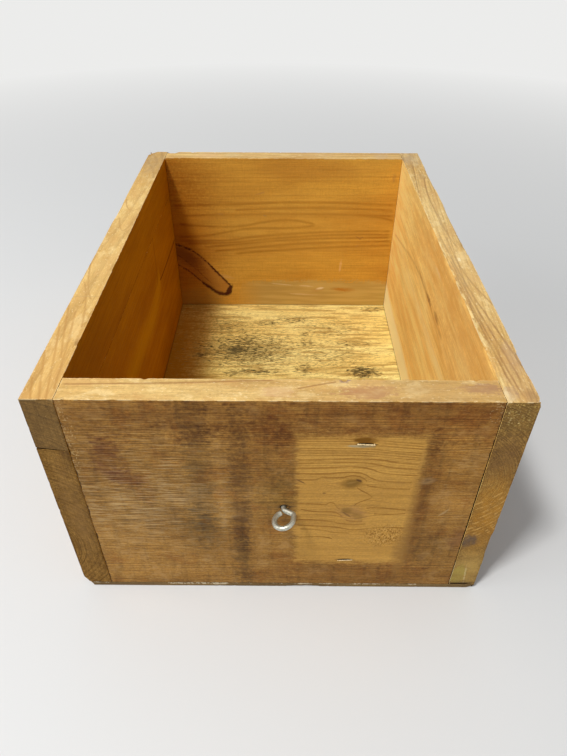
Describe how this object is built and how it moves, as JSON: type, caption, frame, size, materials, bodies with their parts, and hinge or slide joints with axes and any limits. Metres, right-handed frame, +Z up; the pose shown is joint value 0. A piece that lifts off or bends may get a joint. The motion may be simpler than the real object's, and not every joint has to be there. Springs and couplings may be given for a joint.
{
  "type": "open wooden tool box",
  "caption": "Open-topped rectangular wooden box of nailed solid boards with a thin nailed bottom and a turning wire screw eye on its front end.",
  "frame": {"origin": "centre of the box's underside, on the surface that it stands on", "axes": "+X across the width to the right seen from the front, +Y along the length to the back end, +Z up; the end with the screw eye faces -Y"},
  "size_m": [0.33, 0.4826, 0.2115],
  "materials": {
    "front_wood": "old bare softwood, darkened and stained, with a paler card mark",
    "side_wood": "old bare softwood, orange-brown, pale on its worn edges",
    "grey_wood": "old bare softwood, grey-brown end grain with pale specks",
    "sheet_wood": "thin yellow plywood with black mildew marks",
    "zinc": "dulled bright zinc plating",
    "staple_wire": "thin bright wire, slightly tarnished",
    "nail_steel": "plain steel with brown rust"
  },
  "bodies": {
    "box": {"front_board": "front_wood", "back_board": "side_wood", "left_side_upper_board": "grey_wood", "left_side_lower_board": "side_wood", "right_side_board": "side_wood", "bottom_panel": "sheet_wood", "label_staple_upper": "staple_wire", "label_staple_lower": "staple_wire", "corner_nail_front_left_1": "nail_steel", "corner_nail_front_left_2": "nail_steel", "corner_nail_front_left_3": "nail_steel", "corner_nail_front_left_4": "nail_steel", "corner_nail_front_right_1": "nail_steel", "corner_nail_front_right_2": "nail_steel", "corner_nail_front_right_3": "nail_steel", "corner_nail_front_right_4": "nail_steel", "corner_nail_back_left_1": "nail_steel", "corner_nail_back_left_2": "nail_steel", "corner_nail_back_left_3": "nail_steel", "corner_nail_back_left_4": "nail_steel", "corner_nail_back_right_1": "nail_steel", "corner_nail_back_right_2": "nail_steel", "corner_nail_back_right_3": "nail_steel", "corner_nail_back_right_4": "nail_steel", "bottom_nail_left_1": "nail_steel", "bottom_nail_left_2": "nail_steel", "bottom_nail_left_3": "nail_steel", "bottom_nail_left_4": "nail_steel", "bottom_nail_left_5": "nail_steel", "bottom_nail_right_1": "nail_steel", "bottom_nail_right_2": "nail_steel", "bottom_nail_right_3": "nail_steel", "bottom_nail_right_4": "nail_steel", "bottom_nail_right_5": "nail_steel", "bottom_nail_front_1": "nail_steel", "bottom_nail_front_2": "nail_steel", "bottom_nail_front_3": "nail_steel", "bottom_nail_back_1": "nail_steel", "bottom_nail_back_2": "nail_steel", "bottom_nail_back_3": "nail_steel"},
    "screw_eye": {"screw_eye": "zinc"}
  },
  "joints": [
    {"name": "screw_eye_turn", "type": "hinge", "parent": "box", "child": "screw_eye", "pos_m": [0.0027, -0.231, 0.10634], "axis": [0, 1, 0], "range_deg": [-90, 90]}
  ]
}
